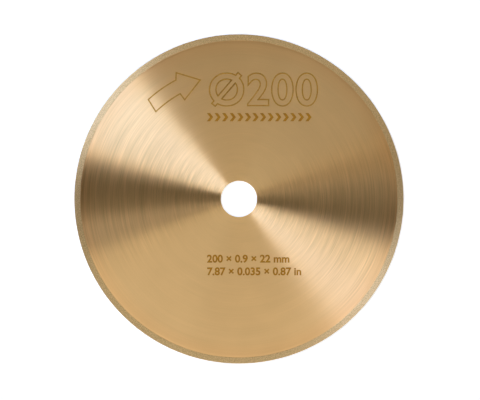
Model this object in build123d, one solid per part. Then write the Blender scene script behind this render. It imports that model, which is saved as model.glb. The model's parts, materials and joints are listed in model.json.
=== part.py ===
from build123d import *
import math
import os

# Diamond cut-off blade for thin sectioning, 200 mm across, for a 22 mm spindle.
# The blade is two pieces: a ground bronze sheet core with a round bore, and a
# narrow continuous rim of bronze-bonded diamond sintered onto the core's edge.
# Both are turned about +Z. The origin is on the bore's axis, halfway through
# the blade's thickness, so the two faces are alike.

# Driving dimensions, in millimetres.
blade_diameter = 200.0
bore_diameter = 22.0

# The core is a little thinner than the rim, so that only the rim cuts.
core_thickness = 0.70
bore_edge_break = 0.08

# Next to the rim each face of the core is ground away a little, in a shallow slope.
relief_width = 1.30
relief_depth = 0.04

# The rim, as a section: how far it reaches inwards and how thick it is.
rim_depth = 3.60
rim_thickness = 0.90
rim_outer_corner = 0.18
rim_inner_edge_break = 0.05

# Places worked out from the driving dimensions.
blade_radius = blade_diameter / 2
bore_radius = bore_diameter / 2
seat_radius = blade_radius - rim_depth


def turned(half_section):
    """A full turn about Z of half a section, given above the middle plane and
    mirrored below it."""
    with BuildPart() as piece:
        with BuildSketch(Plane.XZ):
            with BuildLine():
                half_section()
                mirror(about=Plane.XZ)
            make_face()
        revolve(axis=Axis.Z)
    return piece.part


def core_half_section():
    """From the bore's wall, over its broken edge and along the face, down the
    ground relief to the seat of the rim."""
    half = core_thickness / 2
    relief_start = seat_radius - relief_width
    Polyline(
        (bore_radius, 0),
        (bore_radius, half - bore_edge_break),
        (bore_radius + bore_edge_break, half),
        (relief_start, half),
        (seat_radius, half - relief_depth),
        (seat_radius, 0),
    )


def rim_half_section():
    """From the seat on the core, over the rim's face, round its worn-in outer
    corner to the cutting edge."""
    half = rim_thickness / 2
    corner = min(rim_outer_corner, 0.8 * half)
    corner_centre = (blade_radius - corner, half - corner)
    leg = corner * math.cos(math.radians(45))
    corner_middle = (corner_centre[0] + leg, corner_centre[1] + leg)
    Polyline(
        (seat_radius, 0),
        (seat_radius, half - rim_inner_edge_break),
        (seat_radius + rim_inner_edge_break, half),
        (blade_radius - corner, half),
    )
    ThreePointArc(
        (blade_radius - corner, half), corner_middle, (blade_radius, half - corner)
    )
    Line((blade_radius, half - corner), (blade_radius, 0))


def blade_core():
    """The bronze sheet disc with its bore."""
    return turned(core_half_section)


def diamond_rim():
    """The sintered ring, which sits on the core's edge face to face."""
    return turned(rim_half_section)


os.makedirs("parts", exist_ok=True)
for name, piece in (("blade_core", blade_core()), ("diamond_rim", diamond_rim())):
    export_step(piece, os.path.join("parts", name + ".step"))
    print(name, "volume", round(piece.volume, 2), "mm3")
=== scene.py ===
import json
import math

import bmesh
import bpy
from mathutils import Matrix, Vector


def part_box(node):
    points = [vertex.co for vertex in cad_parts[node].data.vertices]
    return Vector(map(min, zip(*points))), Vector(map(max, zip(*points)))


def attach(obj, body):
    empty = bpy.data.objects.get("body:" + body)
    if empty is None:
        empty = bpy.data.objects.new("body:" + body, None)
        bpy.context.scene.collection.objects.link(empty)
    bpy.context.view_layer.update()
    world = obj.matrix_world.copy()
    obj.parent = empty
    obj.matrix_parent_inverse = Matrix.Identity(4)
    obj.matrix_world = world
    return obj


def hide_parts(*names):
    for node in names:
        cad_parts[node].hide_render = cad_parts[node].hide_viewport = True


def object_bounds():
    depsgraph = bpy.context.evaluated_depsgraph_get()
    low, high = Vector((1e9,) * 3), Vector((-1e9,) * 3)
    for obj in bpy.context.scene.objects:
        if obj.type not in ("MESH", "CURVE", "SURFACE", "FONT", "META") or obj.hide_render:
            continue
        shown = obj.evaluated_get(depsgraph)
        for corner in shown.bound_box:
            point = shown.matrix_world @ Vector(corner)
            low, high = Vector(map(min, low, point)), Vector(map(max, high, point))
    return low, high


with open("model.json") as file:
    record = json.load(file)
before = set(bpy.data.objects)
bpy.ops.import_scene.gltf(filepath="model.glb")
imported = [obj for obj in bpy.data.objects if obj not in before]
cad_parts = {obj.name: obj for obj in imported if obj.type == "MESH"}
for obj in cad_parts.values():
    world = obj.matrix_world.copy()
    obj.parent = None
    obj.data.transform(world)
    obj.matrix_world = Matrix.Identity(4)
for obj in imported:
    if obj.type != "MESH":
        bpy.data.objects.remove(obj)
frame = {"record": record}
cad_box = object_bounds()

# Camera. The photograph looks straight down on the marked face, with the long
# lens of a catalogue picture, and shows the blade a little left of its middle.
photo_width_px = 480
photo_height_px = 400
blade_centre_px = (238.93, 198.95)
blade_radius_px = 164.6
lens_mm = 100.0
sensor_mm = 36.0
nearest_seen = 0.01
farthest_seen = 100.0
metres_per_px = cad_box[1].x / blade_radius_px
camera_height = photo_width_px * metres_per_px * lens_mm / sensor_mm

camera_data = bpy.data.cameras.new("camera")
camera_data.lens = lens_mm
camera_data.sensor_width = sensor_mm
camera_data.clip_start = nearest_seen
camera_data.clip_end = farthest_seen
camera = bpy.data.objects.new("camera", camera_data)
camera.location = (
    (photo_width_px / 2 - blade_centre_px[0]) * metres_per_px,
    (blade_centre_px[1] - photo_height_px / 2) * metres_per_px,
    cad_box[1].z + camera_height,
)
bpy.context.scene.collection.objects.link(camera)
bpy.context.scene.camera = camera
bpy.context.scene.view_settings.view_transform = "Standard"


# Floor and backdrop. A white studio cove: a wide round floor of painted board
# that turns up at its edge. The blade lies on it, on the underside of its rim.
floor_level = cad_box[0].z
floor_radius = 9.0
floor_sides = 96
cove_radius = 1.2
cove_steps = 8
wall_top = 2.6
quarter_turn = math.radians(90)
edge_tolerance = 0.001

# The floor's own glow, and the distances from the blade where it starts and stops
# to grow.
near_floor = 0.8
far_floor = 4.0
near_glow = 0.34
far_glow = 1.0


def turned(name, section, sides):
    """Makes a round piece by hand: a circle is drawn out from each (radius, height)
    of its section to the next. Leaves the piece in edit mode."""
    radius, height = section[0]
    bpy.ops.object.select_all(action="DESELECT")
    bpy.ops.mesh.primitive_circle_add(vertices=sides, radius=radius, enter_editmode=True)
    bpy.ops.transform.translate(value=(0, 0, height))
    for next_radius, next_height in section[1:]:
        scale = next_radius / radius
        bpy.ops.mesh.extrude_edges_move()
        bpy.ops.transform.resize(value=(scale, scale, 1), center_override=(0, 0, 0))
        bpy.ops.transform.translate(value=(0, 0, next_height - height))
        radius, height = next_radius, next_height
    piece = bpy.context.object
    piece.name = name
    return piece


def pick(piece, wanted):
    """Selects the vertices of a piece in edit mode that a test picks, by their place."""
    bpy.ops.mesh.select_mode(type="VERT")
    bpy.ops.mesh.select_all(action="DESELECT")
    bpy.ops.object.mode_set(mode="OBJECT")
    for vertex in piece.data.vertices:
        vertex.select = wanted(piece.matrix_world @ vertex.co)
    bpy.ops.object.mode_set(mode="EDIT")


def linear(hex_code):
    """An sRGB colour, written as six hex digits, as the linear RGBA of a socket."""
    shares = [int(hex_code[i : i + 2], 16) / 255 for i in (0, 2, 4)]
    return [s / 12.92 if s <= 0.04045 else ((s + 0.055) / 1.055) ** 2.4 for s in shares] + [1.0]


def new_material(name):
    """A material with no nodes yet, and its node tree."""
    material = bpy.data.materials.new(name)
    material.use_nodes = True
    material.node_tree.nodes.clear()
    return material, material.node_tree


def add_node(tree, kind, inputs=None, **settings):
    """Adds a node to a tree, with its settings. An input is a value, an output of
    another node, or another node, which stands for its first output. A socket whose
    name isn't the only one on its node goes by number: a Map Range node takes its
    range in at 1 and 2 and its range out at 3 and 4, and a Mix node takes its two
    colours at 6 and 7 and gives their mix at output 2."""
    node = tree.nodes.new(kind)
    for setting, value in settings.items():
        setattr(node, setting, value)
    for socket, value in (inputs or {}).items():
        if isinstance(value, bpy.types.Node):
            value = value.outputs[0]
        if isinstance(value, bpy.types.NodeSocket):
            tree.links.new(value, node.inputs[socket])
        else:
            node.inputs[socket].default_value = value
    return node


def from_the_axis(tree):
    """How far a point is from the blade's axis, and the direction outwards to it."""
    place = add_node(tree, "ShaderNodeTexCoord").outputs["Object"]
    flat = add_node(tree, "ShaderNodeVectorMath", {0: place, 1: (1, 1, 0)}, operation="MULTIPLY")
    radius = add_node(tree, "ShaderNodeVectorMath", {0: flat}, operation="LENGTH")
    outwards = add_node(tree, "ShaderNodeVectorMath", {0: flat}, operation="NORMALIZE")
    return radius.outputs["Value"], outwards.outputs[0]


def matt_white_emulsion():
    """Matt white paint. To the camera, and mirrored in metal, it reads as plain white,
    and near the blade it still takes the shadow. Far off, where no lamp reaches it,
    its own glow keeps it white."""
    material, tree = new_material("matt_white_emulsion")
    paint = add_node(tree, "ShaderNodeBsdfDiffuse", {"Color": linear("F4F4F4")})
    ray = add_node(tree, "ShaderNodeLightPath").outputs
    reflected = add_node(
        tree,
        "ShaderNodeMath",
        {0: ray["Is Glossy Ray"], 1: ray["Is Transmission Ray"]},
        operation="MAXIMUM",
    )
    seen = add_node(
        tree, "ShaderNodeMath", {0: ray["Is Camera Ray"], 1: reflected}, operation="MAXIMUM"
    )
    radius, _ = from_the_axis(tree)
    level = add_node(
        tree,
        "ShaderNodeMapRange",
        {"Value": radius, 1: near_floor, 2: far_floor, 3: near_glow, 4: far_glow},
    )
    glow = add_node(tree, "ShaderNodeMath", {0: seen, 1: level}, operation="MULTIPLY")
    white = add_node(tree, "ShaderNodeEmission", {"Color": linear("FFFFFF"), "Strength": glow})
    both = add_node(tree, "ShaderNodeAddShader", {0: paint, 1: white})
    add_node(tree, "ShaderNodeOutputMaterial", {"Surface": both})
    return material


cove = [(floor_radius, floor_level)]
for step in range(1, cove_steps + 1):
    turn = quarter_turn * step / cove_steps
    rise = cove_radius * (1 - math.cos(turn))
    cove.append((floor_radius + cove_radius * math.sin(turn), floor_level + rise))
cove.append((floor_radius + cove_radius, floor_level + wall_top))
floor = turned("studio_floor", cove, floor_sides)
pick(floor, lambda place: math.hypot(place.x, place.y) < floor_radius + edge_tolerance)
bpy.ops.mesh.edge_face_add()
bpy.ops.mesh.select_all(action="SELECT")
bpy.ops.mesh.normals_make_consistent(inside=True)
bpy.ops.object.mode_set(mode="OBJECT")
floor.data.materials.append(matt_white_emulsion())


# Lights. A cool softbox stands at the upper left and draws the two bright fans. A
# hung bank of neutral light runs round the lower side, and a dim one ends it at the
# right. Tubes at the panels' edges keep the fans crisp, and gaps leave the dark fans.
light_distance = 1.2
room_level = 0.065

# Heights of the lower and upper edges of what stands on the floor and what hangs.
standing = (0.8, 3.0)
hung = (1.0, 6.0)


def softbox(name, heights, azimuths, colour, level):
    """A panel of light that faces the blade's axis, between two heights and two
    azimuths as the blade sees them. Its level is in multiples of plain white."""
    turn = math.radians(sum(azimuths) / 2)
    opening = math.radians(azimuths[1] - azimuths[0])
    light = bpy.data.lights.new(name, "AREA")
    light.shape = "RECTANGLE"
    light.size = 2 * light_distance * math.tan(opening / 2)
    light.size_y = heights[1] - heights[0]
    light.color = linear(colour)[:3]
    light.energy = level * math.pi * light.size * light.size_y
    lamp = bpy.data.objects.new(name, light)
    lamp.location = (
        light_distance * math.cos(turn),
        light_distance * math.sin(turn),
        sum(heights) / 2,
    )
    lamp.rotation_euler = (quarter_turn, 0, turn + quarter_turn)
    lamp.visible_camera = False
    bpy.context.scene.collection.objects.link(lamp)


softbox("cool_softbox", standing, (129.8, 163.2), "B6D0FF", 7.85)
softbox("cool_softbox_tube_top", standing, (129.6, 131.8), "FFF8A0", 3.0)
softbox("cool_softbox_tube_side", standing, (160.8, 163.2), "FFDC50", 4.4)
softbox("bank_end_left", hung, (189.0, 199.5), "B7D4FF", 0.64)
softbox("bank_tube_left", hung, (189.0, 191.5), "FFF8EE", 2.5)
softbox("bank_left", hung, (199.5, 254.0), "FFFFF8", 2.15)
softbox("bank_middle", hung, (254.0, 308.5), "FFFDF3", 2.06)
softbox("bank_tube_right", hung, (308.5, 311.0), "E8DDFF", 1.0)
softbox("bank_right", hung, (308.5, 327.0), "F9F5FF", 2.2)
softbox("bank_end_right", hung, (327.0, 341.5), "FFF0CC", 1.8)
softbox("side_panel", hung, (356.0, 370.0), "EAF0F4", 0.52)
softbox("side_panel_warm", hung, (370.0, 385.0), "FFD886", 0.47)

room = bpy.data.worlds.new("dim_warm_room")
bpy.context.scene.world = room
room.use_nodes = True
room.node_tree.nodes.clear()
air = add_node(
    room.node_tree,
    "ShaderNodeBackground",
    {"Color": linear("FFDC84"), "Strength": room_level},
)
add_node(room.node_tree, "ShaderNodeOutputWorld", {"Surface": air})


# Core. A disc of bronze sheet, 0.7 mm thick, with a reamed bore. Both faces are
# ground on a turning table, so fine grooves run round the axis, and beside the
# rim each face slopes down a little, where it was relieved to clear the cut.
core_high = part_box("blade_core")[1]
seat_radius = core_high.x
core_half = core_high.z
bore_radius = frame["record"]["mounts"][0]["dims"]["r_mm"] / 1000
bore_edge_break = 0.00008
relief_width = 0.0013
relief_depth = 0.00004
core_sides = 720
face_rings = 8
merge_distance = 1e-7
smooth_angle = math.radians(30)


def strip_map(piece, section, sides):
    """Lays the piece's skin out as one strip: U follows the section, outwards over the
    upper face and back over the lower one, and V goes once round the axis."""
    lengths = [0.0]
    for start, end in zip(section, section[1:]):
        lengths.append(lengths[-1] + math.dist(start, end))
    mesh = bmesh.new()
    mesh.from_mesh(piece.data)
    strip = mesh.loops.layers.uv.new("OFBake")
    mesh.faces.ensure_lookup_table()
    for face in mesh.faces:
        ring = face.index // sides
        turns = [math.atan2(loop.vert.co.y, loop.vert.co.x) / math.tau % 1 for loop in face.loops]
        if max(turns) - min(turns) > 0.5:
            turns = [turn + 1 if turn < 0.5 else turn for turn in turns]
        for loop, turn in zip(face.loops, turns):
            place = (math.hypot(loop.vert.co.x, loop.vert.co.y), loop.vert.co.z)
            near = min((ring, ring + 1), key=lambda i: math.dist(place, section[i]))
            loop[strip].uv = (lengths[near] / lengths[-1], turn)
    mesh.to_mesh(piece.data)
    mesh.free()


def close_up(piece):
    """Selects a finished piece alone, puts its place into its mesh, merges its doubles
    and turns all its faces outwards."""
    bpy.ops.object.mode_set(mode="OBJECT")
    bpy.ops.object.select_all(action="DESELECT")
    piece.select_set(True)
    bpy.context.view_layer.objects.active = piece
    bpy.ops.object.transform_apply(location=True, rotation=True, scale=True)
    bpy.ops.object.mode_set(mode="EDIT")
    bpy.ops.mesh.select_all(action="SELECT")
    bpy.ops.mesh.remove_doubles(threshold=merge_distance)
    bpy.ops.mesh.normals_make_consistent(inside=False)
    bpy.ops.object.mode_set(mode="OBJECT")


def turned_ring(name, upper_half, sides):
    """A round piece with a hole, from the upper half of its section: up over the top,
    back below it, and closed where the last ring meets the first."""
    lower_half = [(radius, -height) for radius, height in reversed(upper_half)]
    section = upper_half + lower_half + upper_half[:1]
    piece = turned(name, section, sides)
    bpy.ops.object.mode_set(mode="OBJECT")
    strip_map(piece, section, sides)
    close_up(piece)
    bpy.ops.object.shade_smooth_by_angle(angle=smooth_angle)
    return piece


# The rings next to the bore's edge and the relief keep the flat face's shading flat.
relief_start = seat_radius - relief_width
face_start = bore_radius + bore_edge_break
core_section = [
    (bore_radius, 0),
    (bore_radius, core_half - bore_edge_break),
    (face_start, core_half),
    (face_start + bore_edge_break, core_half),
]
for ring in range(1, face_rings):
    ring_radius = face_start + (relief_start - face_start) * ring / face_rings
    core_section.append((ring_radius, core_half))
core_section += [
    (relief_start - relief_width / 4, core_half),
    (relief_start, core_half),
    (seat_radius, core_half - relief_depth),
]
core = turned_ring("bronze_disc", core_section, core_sides)

# Colours of the ground face, by distance from the axis, with painted shading: paler
# near the bore, and darker and a little redder towards the rim.
face_colours_with_painted_shade = (
    (bore_radius, "ECC58E"),
    (0.022, "E6C08B"),
    (0.086, "E3BD89"),
    (seat_radius, "E3B883"),
)
groove_width = 0.0009
groove_depth = 0.00003
scratch_width = 0.0006
band_width = 0.006
stain_size = 0.03
ground_roughness = (0.28, 0.29)

# The grooves and scratches are painted with more contrast within 45 degrees of the dark
# fans' azimuth, where the squared cosine of the angle to it is over this value, and little
# elsewhere. The grooves are real; their extra contrast there is painted shade and highlight.
dark_fan_azimuth = math.radians(168)
dark_fan_streaks_from = 0.5
least_dark_fan_streaks = 0.12

# Nearly all of a noise pattern lies between these two values.
pattern_low = 0.3
pattern_high = 0.7


def ground_marks(tree, width, turn_rate, detail, roughness=0.5):
    """A pattern of marks that run round the axis, from 0 to 1. width sets how soon the
    next mark starts outwards, and turn_rate how soon a mark ends along its circle."""
    radius, outwards = from_the_axis(tree)
    around = add_node(
        tree, "ShaderNodeVectorMath", {0: outwards, "Scale": turn_rate}, operation="SCALE"
    )
    count = add_node(tree, "ShaderNodeMath", {0: radius, 1: 1 / width}, operation="MULTIPLY")
    steps = add_node(tree, "ShaderNodeCombineXYZ", {"Z": count})
    place = add_node(tree, "ShaderNodeVectorMath", {0: around, 1: steps}, operation="ADD")
    return add_node(
        tree,
        "ShaderNodeTexNoise",
        {"Vector": place, "Scale": 1.0, "Detail": detail, "Roughness": roughness},
    )


def mottling(tree, size, detail, roughness=0.5):
    """A pattern of soft spots, about as large as the given size, from 0 to 1."""
    place = add_node(tree, "ShaderNodeTexCoord").outputs["Object"]
    in_spots = add_node(tree, "ShaderNodeMapping", {"Vector": place, "Scale": (1 / size,) * 3})
    return add_node(
        tree,
        "ShaderNodeTexNoise",
        {"Vector": in_spots, "Scale": 1.0, "Detail": detail, "Roughness": roughness},
    )


def ground_bronze():
    """Bronze sheet, surface-ground in circles to a satin face. Across the grooves it
    scatters light widely and along them hardly at all, which draws the bright and
    dark fans that turn about the bore. Handling has left faint stains. The real
    grooves and scratches, 0.1 mm wide, are too fine to show, so they are drawn six to
    nine times coarser, with painted shade and highlight strongest along the dark fans."""
    material, tree = new_material("ground_bronze")
    radius, outwards = from_the_axis(tree)
    across_face = add_node(
        tree,
        "ShaderNodeMapRange",
        {"Value": radius, 1: bore_radius, 2: seat_radius, 3: 0.0, 4: 1.0},
    )
    # The ramp carries the face's colour with painted shading: paler near the bore, darker towards
    # the rim.
    colour_and_painted_shade = add_node(tree, "ShaderNodeValToRGB", {0: across_face})
    ramp = colour_and_painted_shade.color_ramp.elements
    ramp[0].color = linear(face_colours_with_painted_shade[0][1])
    ramp[1].color = linear(face_colours_with_painted_shade[-1][1])
    for place, hex_code in face_colours_with_painted_shade[1:-1]:
        share = (place - bore_radius) / (seat_radius - bore_radius)
        ramp.new(share).color = linear(hex_code)

    grooves = ground_marks(tree, groove_width, turn_rate=1.6, detail=3.0, roughness=0.6)
    scratches = ground_marks(tree, scratch_width, turn_rate=4.0, detail=2.0, roughness=0.6)
    bands = ground_marks(tree, band_width, turn_rate=1.0, detail=1.0)
    stains = mottling(tree, stain_size, detail=2.0)
    # Along the dark fans' azimuth the grooves and scratches get painted shade and highlight.
    toward_dark_fan = (math.cos(dark_fan_azimuth), math.sin(dark_fan_azimuth), 0)
    along = add_node(
        tree, "ShaderNodeVectorMath", {0: outwards, 1: toward_dark_fan}, operation="DOT_PRODUCT"
    ).outputs["Value"]
    squared = add_node(tree, "ShaderNodeMath", {0: along, 1: along}, operation="MULTIPLY")
    dark_fan_streak_share = add_node(
        tree,
        "ShaderNodeMapRange",
        {"Value": squared, 1: dark_fan_streaks_from, 2: 1.0, 3: least_dark_fan_streaks, 4: 1.0},
    )

    colour = colour_and_painted_shade
    # The grooves and scratches are painted darker and paler most along the dark fans, which is
    # painted shade and highlight; the bands and stains are the sheet's own tone.
    for pattern, darkest, palest, share in (
        (grooves, 0.86, 1.14, dark_fan_streak_share),
        (scratches, 0.92, 1.08, dark_fan_streak_share),
        (bands, 0.985, 1.015, 1.0),
        (stains, 0.97, 1.03, 1.0),
    ):
        shade = add_node(
            tree,
            "ShaderNodeMapRange",
            {"Value": pattern, 1: pattern_low, 2: pattern_high, 3: darkest, 4: palest},
        )
        colour = add_node(
            tree,
            "ShaderNodeMix",
            {"Factor": share, 6: colour, 7: shade},
            data_type="RGBA",
            blend_type="MULTIPLY",
        ).outputs[2]

    smoothest, roughest = ground_roughness
    satin = add_node(
        tree,
        "ShaderNodeMapRange",
        {"Value": grooves, 1: pattern_low, 2: pattern_high, 3: smoothest, 4: roughest},
    )
    relief = add_node(
        tree, "ShaderNodeBump", {"Strength": 1.0, "Distance": groove_depth, "Height": grooves}
    )
    across = add_node(tree, "ShaderNodeTangent", direction_type="UV_MAP", uv_map="OFBake")
    metal = add_node(
        tree,
        "ShaderNodeBsdfPrincipled",
        {
            "Base Color": colour,
            "Metallic": 1.0,
            "Roughness": satin,
            "Anisotropic": 1.0,
            "Anisotropic Rotation": 0.0,
            "Tangent": across,
            "Normal": relief,
        },
    )
    add_node(tree, "ShaderNodeOutputMaterial", {"Surface": metal})
    return material


core.data.materials.append(ground_bronze())
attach(core, "root")
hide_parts("blade_core")


# Rim. A continuous ring of diamond grit in a bronze powder bond, pressed and
# sintered onto the core's edge, then dressed true. It is a little thicker than
# the core, matt and grainy, and its two outer corners are rounded.
rim_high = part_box("diamond_rim")[1]
rim_radius = rim_high.x
rim_half = rim_high.z
rim_corner = 0.00018
rim_inner_break = 0.00005
corner_steps = 5
rim_rings = 11
rim_sides = 1800
grain_size = 0.0005
grain_height = 0.000015

corner_start = rim_radius - rim_corner
rim_face_start = seat_radius + rim_inner_break
rim_section = [(seat_radius, 0), (seat_radius, rim_half - rim_inner_break)]
for ring in range(rim_rings + 1):
    ring_radius = rim_face_start + (corner_start - rim_face_start) * ring / rim_rings
    rim_section.append((ring_radius, rim_half))
for step in range(1, corner_steps + 1):
    turn = quarter_turn * step / corner_steps
    drop = rim_corner * (1 - math.cos(turn))
    rim_section.append((corner_start + rim_corner * math.sin(turn), rim_half - drop))

# A ring a third of the way up, with its like below, parts the cutting edge in three.
rim_section.append((rim_radius, (rim_half - rim_corner) / 3))
rim = turned_ring("sintered_rim", rim_section, rim_sides)

# The grain roughens all of the skin but the seat, which stays on the core.
skin_start = seat_radius + rim_inner_break / 2
skin = [v.index for v in rim.data.vertices if math.hypot(v.co.x, v.co.y) > skin_start]
dressed = rim.vertex_groups.new(name="dressed_skin")
dressed.add(skin, 1.0, "REPLACE")
grains = bpy.data.textures.new("bond_grains", "CLOUDS")
grains.noise_scale = grain_size
grains.noise_depth = 1
roughened = rim.modifiers.new("grain_relief", "DISPLACE")
roughened.texture = grains
roughened.texture_coords = "LOCAL"
roughened.vertex_group = dressed.name
roughened.mid_level = 1.0
roughened.strength = grain_height
bpy.ops.object.modifier_apply(modifier=roughened.name)

grit_low = 0.35
grit_high = 0.65
bond_roughness = (0.42, 0.50)
pit_depth = 0.00004
pit_strength = 0.6


def two_tone(tree, pattern, low, high, dark, pale):
    """Goes from a dark colour to a pale one as a pattern goes from low to high."""
    tone = add_node(
        tree, "ShaderNodeMapRange", {"Value": pattern, 1: low, 2: high, 3: 0.0, 4: 1.0}
    )
    return add_node(
        tree,
        "ShaderNodeMix",
        {"Factor": tone, 6: linear(dark), 7: linear(pale)},
        data_type="RGBA",
    ).outputs[2]


def sintered_bond():
    """Sintered bronze powder with diamond grit, dressed with a stone. The bond is
    greyer and duller than sheet bronze, with pale and dark specks of grit."""
    material, tree = new_material("sintered_bond")
    grit = mottling(tree, grain_size, detail=3.0, roughness=0.6)
    smoothest, roughest = bond_roughness
    matt = add_node(
        tree,
        "ShaderNodeMapRange",
        {"Value": grit, 1: grit_low, 2: grit_high, 3: smoothest, 4: roughest},
    )
    pits = add_node(
        tree, "ShaderNodeBump", {"Strength": pit_strength, "Distance": pit_depth, "Height": grit}
    )
    outwards = add_node(tree, "ShaderNodeTangent", direction_type="UV_MAP", uv_map="OFBake")
    bond = add_node(
        tree,
        "ShaderNodeBsdfPrincipled",
        {
            "Base Color": two_tone(tree, grit, grit_low, grit_high, "B29565", "ECCE9F"),
            "Metallic": 1.0,
            "Roughness": matt,
            "Anisotropic": 0.9,
            "Anisotropic Rotation": 0.0,
            "Tangent": outwards,
            "Normal": pits,
        },
    )
    add_node(tree, "ShaderNodeOutputMaterial", {"Surface": bond})
    return material


rim.data.materials.append(sintered_bond())
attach(rim, "root")
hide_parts("diamond_rim")


# Marks. A turning arrow and the blade's size, etched into the upper face with acid,
# which leaves a thin ochre stain. The arrow and the diameter are outlines, and the
# chevrons and the two lines of sizes are solid.
stain_height = 0.000015
stain_floor = core_half - stain_height
outline_width = 0.0008
blot_size = 0.0015


def etch_stain(name, dark, pale):
    """Oxide left by the etching acid: a thin, dull ochre coat on the bronze, uneven
    where the acid pooled, which keeps its colour where the bare metal turns bright
    or dark."""
    material, tree = new_material(name)
    blots = mottling(tree, blot_size, detail=2.0)
    coat = add_node(
        tree,
        "ShaderNodeBsdfPrincipled",
        {
            "Base Color": two_tone(tree, blots, pattern_low, pattern_high, dark, pale),
            "Metallic": 0.0,
            "Roughness": 0.7,
            "Specular IOR Level": 0.2,
        },
    )
    add_node(tree, "ShaderNodeOutputMaterial", {"Surface": coat})
    return material


thin_stain = etch_stain("etch_stain_thin", "A2701A", "BA882C")
full_stain = etch_stain("etch_stain_full", "986206", "B07A10")


def thicken():
    """Gives the flat mark in edit mode its thickness, half of it below the face."""
    bpy.ops.mesh.select_all(action="SELECT")
    bpy.ops.mesh.extrude_region_move(
        TRANSFORM_OT_translate={"value": (0, 0, 2 * stain_height)}
    )


def etched(piece, name, stain):
    """Closes up a finished mark, stains it and lets it ride on the blade."""
    piece.name = name
    close_up(piece)
    piece.data.materials.append(stain)
    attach(piece, "root")


# The arrow's head is a plane with its lower edge merged to the tip. The shaft is drawn
# out of its upper edge, round the axis. The whole is then turned to its place, and only
# its outline is kept. With no window, rotate turns the other way, so angles are negative.
arrow_radius = 0.0760
arrow_width = 0.0095
arrow_head_width = 0.0185
arrow_head_length = 0.0135
arrow_barb = 0.0016
arrow_steps = 10
arrow_step = math.radians(1.45)
arrow_tip_azimuth = math.radians(107.5)

bpy.ops.object.select_all(action="DESELECT")
bpy.ops.mesh.primitive_plane_add(
    size=1, location=(arrow_radius, arrow_head_length / 2, stain_floor), enter_editmode=True
)
arrow = bpy.context.object
bpy.ops.transform.resize(value=(arrow_head_width, arrow_head_length, 1))
pick(arrow, lambda place: place.y < arrow_head_length / 2)
bpy.ops.mesh.merge(type="CENTER")
pick(arrow, lambda place: place.y > arrow_head_length / 2)
bpy.ops.mesh.extrude_edges_move(TRANSFORM_OT_translate={"value": (0, arrow_barb, 0)})
bpy.ops.transform.resize(
    value=(arrow_width / arrow_head_width, 1, 1), center_override=(arrow_radius, 0, 0)
)
for step in range(arrow_steps):
    bpy.ops.mesh.extrude_edges_move()
    bpy.ops.transform.rotate(value=-arrow_step, orient_axis="Z", center_override=(0, 0, 0))
bpy.ops.mesh.select_all(action="SELECT")
bpy.ops.transform.rotate(value=-arrow_tip_azimuth, orient_axis="Z", center_override=(0, 0, 0))
bpy.ops.mesh.inset(thickness=outline_width, depth=0)
bpy.ops.mesh.delete(type="FACE")
thicken()
etched(arrow, "etched_arrow", thin_stain)

# A chevron is a plane that leans to its point, with a second one drawn out of its
# lower edge, and an array makes the row.
chevron_place = (-0.0185, 0.0497)
chevron_size = (0.0019, 0.0025)
chevron_lean = 0.0019
chevron_pitch = 0.0046
chevron_count = 14
chevron_middle = chevron_place[1] + chevron_size[1] / 2

bpy.ops.object.select_all(action="DESELECT")
bpy.ops.mesh.primitive_plane_add(
    size=1, location=(chevron_place[0], chevron_middle, stain_floor), enter_editmode=True
)
chevrons = bpy.context.object
bpy.ops.transform.resize(value=(chevron_size[0], chevron_size[1], 1))
pick(chevrons, lambda place: place.y < chevron_middle)
bpy.ops.transform.translate(value=(chevron_lean, 0, 0))
bpy.ops.mesh.extrude_edges_move(
    TRANSFORM_OT_translate={"value": (-chevron_lean, -chevron_size[1], 0)}
)
thicken()
bpy.ops.object.mode_set(mode="OBJECT")
row = chevrons.modifiers.new("row", "ARRAY")
row.count = chevron_count
row.use_relative_offset = False
row.use_constant_offset = True
row.constant_offset_displace = (chevron_pitch, 0, 0)
bpy.ops.object.modifier_apply(modifier=row.name)
etched(chevrons, "etched_chevrons", full_stain)

# Figures. Their height is this share of the font's size, and both kinds are drawn
# bolder than the font.
figure_share = 0.7
figure_steps = 8
outline_steps = 1
outlined_boldness = 0.0006
outlined_spacing = 1.1
solid_boldness = 0.0002


def figures(name, words, place, height, outlined=False):
    """Plain figures of one line, solid or outlined, from their left end rightwards."""
    bpy.ops.object.select_all(action="DESELECT")
    bpy.ops.object.text_add(location=(place[0], place[1], core_half))
    line = bpy.context.object
    line.data.body = words
    line.data.size = height / figure_share
    line.data.resolution_u = figure_steps
    if outlined:
        line.data.fill_mode = "NONE"
        line.data.bevel_depth = outline_width / 2
        line.data.bevel_resolution = outline_steps
        line.data.offset = outlined_boldness
        line.data.space_character = outlined_spacing
    else:
        line.data.extrude = stain_height
        line.data.offset = solid_boldness
    bpy.ops.object.convert(target="MESH")
    line = bpy.context.object
    if outlined:
        line.scale = (1, 1, 2 * stain_height / outline_width)
    etched(line, name, thin_stain if outlined else full_stain)


figures("etched_diameter", "Ø200", (-0.0185, 0.0573), 0.0188, outlined=True)
figures("etched_sizes_mm", "200 × 0.9 × 22 mm", (-0.0194, -0.0385), 0.0045)
figures("etched_sizes_inch", "7.87 × 0.035 × 0.87 in", (-0.0194, -0.0462), 0.0045)
